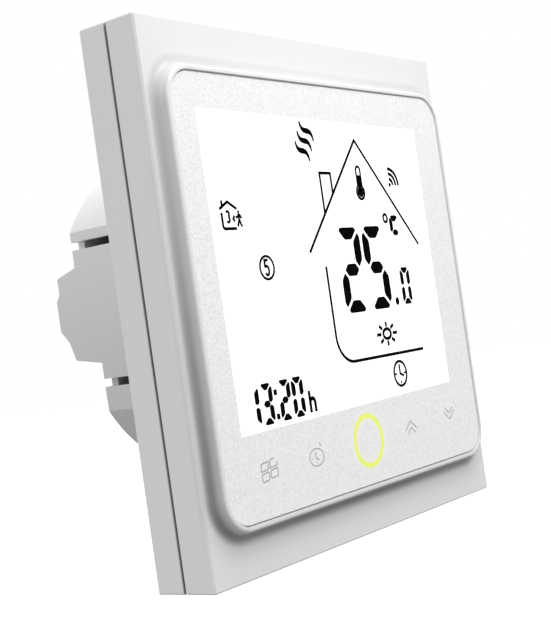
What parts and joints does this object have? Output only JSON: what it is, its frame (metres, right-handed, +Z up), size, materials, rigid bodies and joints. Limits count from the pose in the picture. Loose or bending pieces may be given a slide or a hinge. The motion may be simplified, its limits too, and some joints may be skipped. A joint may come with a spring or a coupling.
{
  "type": "wall thermostat",
  "caption": "Square flush-mounting wall thermostat with a raised rectangular touch display, a pull-off front unit and a stepped round power box behind.",
  "frame": {"origin": "centre of the two wall-screw slots, on the wall plane (rear face of the base)", "axes": "+X to the right seen from the room, +Z up, +Y into the wall; the display faces -Y"},
  "size_m": [0.086, 0.0456, 0.086],
  "materials": {
    "white_abs": "smooth moulded white ABS and polycarbonate, fine satin gloss",
    "box_abs": "moulded white ABS, slightly matt",
    "lens": "clear flat lens with a silver-white sparkle border",
    "display_glass": "liquid crystal cell, white with black segments",
    "light_guide": "clear acrylic light guide",
    "elastomer": "layered conductive elastomer",
    "holder_plastic": "white holder",
    "foam": "conductive foam and black adhesive",
    "led": "surface-mount lamps",
    "board": "green glass-epoxy circuit board",
    "steel": "zinc-plated steel",
    "chip": "black moulded epoxy and plastic",
    "sensor": "thermistor bead",
    "brass": "tinned brass",
    "ferrite": "ferrite",
    "winding_tape": "yellow winding tape",
    "capacitor_sleeve": "black shrink sleeve",
    "relay_case": "blue relay case",
    "varistor": "blue epoxy coat",
    "block_plastic": "green moulded polyamide"
  },
  "bodies": {
    "base": {"base_plate": "white_abs", "steel_plate": "steel", "box_screws": "steel", "power_box": "box_abs", "power_board": "board", "power_screws": "steel", "plug_socket": "chip", "transformer_core": "ferrite", "transformer_coil": "winding_tape", "mains_capacitor": "capacitor_sleeve", "output_capacitor": "capacitor_sleeve", "relays": "relay_case", "varistor": "varistor", "fuse": "chip", "rectifier": "chip", "terminal_block": "block_plastic", "terminal_frames": "brass"},
    "front_unit": {"front_frame": "white_abs", "touch_lens": "lens", "lens_tape": "foam", "display_glass": "display_glass", "display_light": "light_guide", "display_strip": "elastomer", "display_holder": "holder_plastic", "key_pad_1": "foam", "key_pad_2": "foam", "key_pad_3": "foam", "key_pad_4": "foam", "key_pad_5": "foam", "ring_light": "light_guide", "ring_leds": "led", "control_board": "board", "board_screws": "steel", "processor": "chip", "radio_board": "board", "radio_shield": "steel", "clock_crystal": "steel", "room_sensor": "sensor", "plug_strip": "chip", "plug_pins": "brass"},
    "clamp_1": {"clamp_plate_1": "brass"},
    "screw_1": {"terminal_screw_1": "steel"},
    "clamp_2": {"clamp_plate_2": "brass"},
    "screw_2": {"terminal_screw_2": "steel"},
    "clamp_3": {"clamp_plate_3": "brass"},
    "screw_3": {"terminal_screw_3": "steel"},
    "clamp_4": {"clamp_plate_4": "brass"},
    "screw_4": {"terminal_screw_4": "steel"},
    "clamp_5": {"clamp_plate_5": "brass"},
    "screw_5": {"terminal_screw_5": "steel"},
    "clamp_6": {"clamp_plate_6": "brass"},
    "screw_6": {"terminal_screw_6": "steel"}
  },
  "joints": [
    {"name": "front_pull", "type": "slide", "parent": "base", "child": "front_unit", "axis": [0, -1, 0], "range_m": [0, 0.015]},
    {"name": "clamp_travel_1", "type": "slide", "parent": "base", "child": "clamp_1", "axis": [0, -1, 0], "range_m": [0, 0.002]},
    {"name": "screw_turn_1", "type": "hinge", "parent": "clamp_1", "child": "screw_1", "pos_m": [-0.0175, 0.0302, 0.00162], "axis": [0, -1, 0], "range_deg": [0, 1440.5]},
    {"name": "clamp_travel_2", "type": "slide", "parent": "base", "child": "clamp_2", "axis": [0, -1, 0], "range_m": [0, 0.002]},
    {"name": "screw_turn_2", "type": "hinge", "parent": "clamp_2", "child": "screw_2", "pos_m": [-0.0105, 0.0302, 0.00162], "axis": [0, -1, 0], "range_deg": [0, 1440.5]},
    {"name": "clamp_travel_3", "type": "slide", "parent": "base", "child": "clamp_3", "axis": [0, -1, 0], "range_m": [0, 0.002]},
    {"name": "screw_turn_3", "type": "hinge", "parent": "clamp_3", "child": "screw_3", "pos_m": [-0.0035, 0.0302, 0.00162], "axis": [0, -1, 0], "range_deg": [0, 1440.5]},
    {"name": "clamp_travel_4", "type": "slide", "parent": "base", "child": "clamp_4", "axis": [0, -1, 0], "range_m": [0, 0.002]},
    {"name": "screw_turn_4", "type": "hinge", "parent": "clamp_4", "child": "screw_4", "pos_m": [0.0035, 0.0302, 0.00162], "axis": [0, -1, 0], "range_deg": [0, 1440.5]},
    {"name": "clamp_travel_5", "type": "slide", "parent": "base", "child": "clamp_5", "axis": [0, -1, 0], "range_m": [0, 0.002]},
    {"name": "screw_turn_5", "type": "hinge", "parent": "clamp_5", "child": "screw_5", "pos_m": [0.0105, 0.0302, 0.00162], "axis": [0, -1, 0], "range_deg": [0, 1440.5]},
    {"name": "clamp_travel_6", "type": "slide", "parent": "base", "child": "clamp_6", "axis": [0, -1, 0], "range_m": [0, 0.002]},
    {"name": "screw_turn_6", "type": "hinge", "parent": "clamp_6", "child": "screw_6", "pos_m": [0.0175, 0.0302, 0.00162], "axis": [0, -1, 0], "range_deg": [0, 1440.5]}
  ],
  "couplings": [
    {"joint": "screw_turn_1", "follows": "clamp_travel_1", "rad_per_m": 12566},
    {"joint": "screw_turn_2", "follows": "clamp_travel_2", "rad_per_m": 12566},
    {"joint": "screw_turn_3", "follows": "clamp_travel_3", "rad_per_m": 12566},
    {"joint": "screw_turn_4", "follows": "clamp_travel_4", "rad_per_m": 12566},
    {"joint": "screw_turn_5", "follows": "clamp_travel_5", "rad_per_m": 12566},
    {"joint": "screw_turn_6", "follows": "clamp_travel_6", "rad_per_m": 12566}
  ]
}
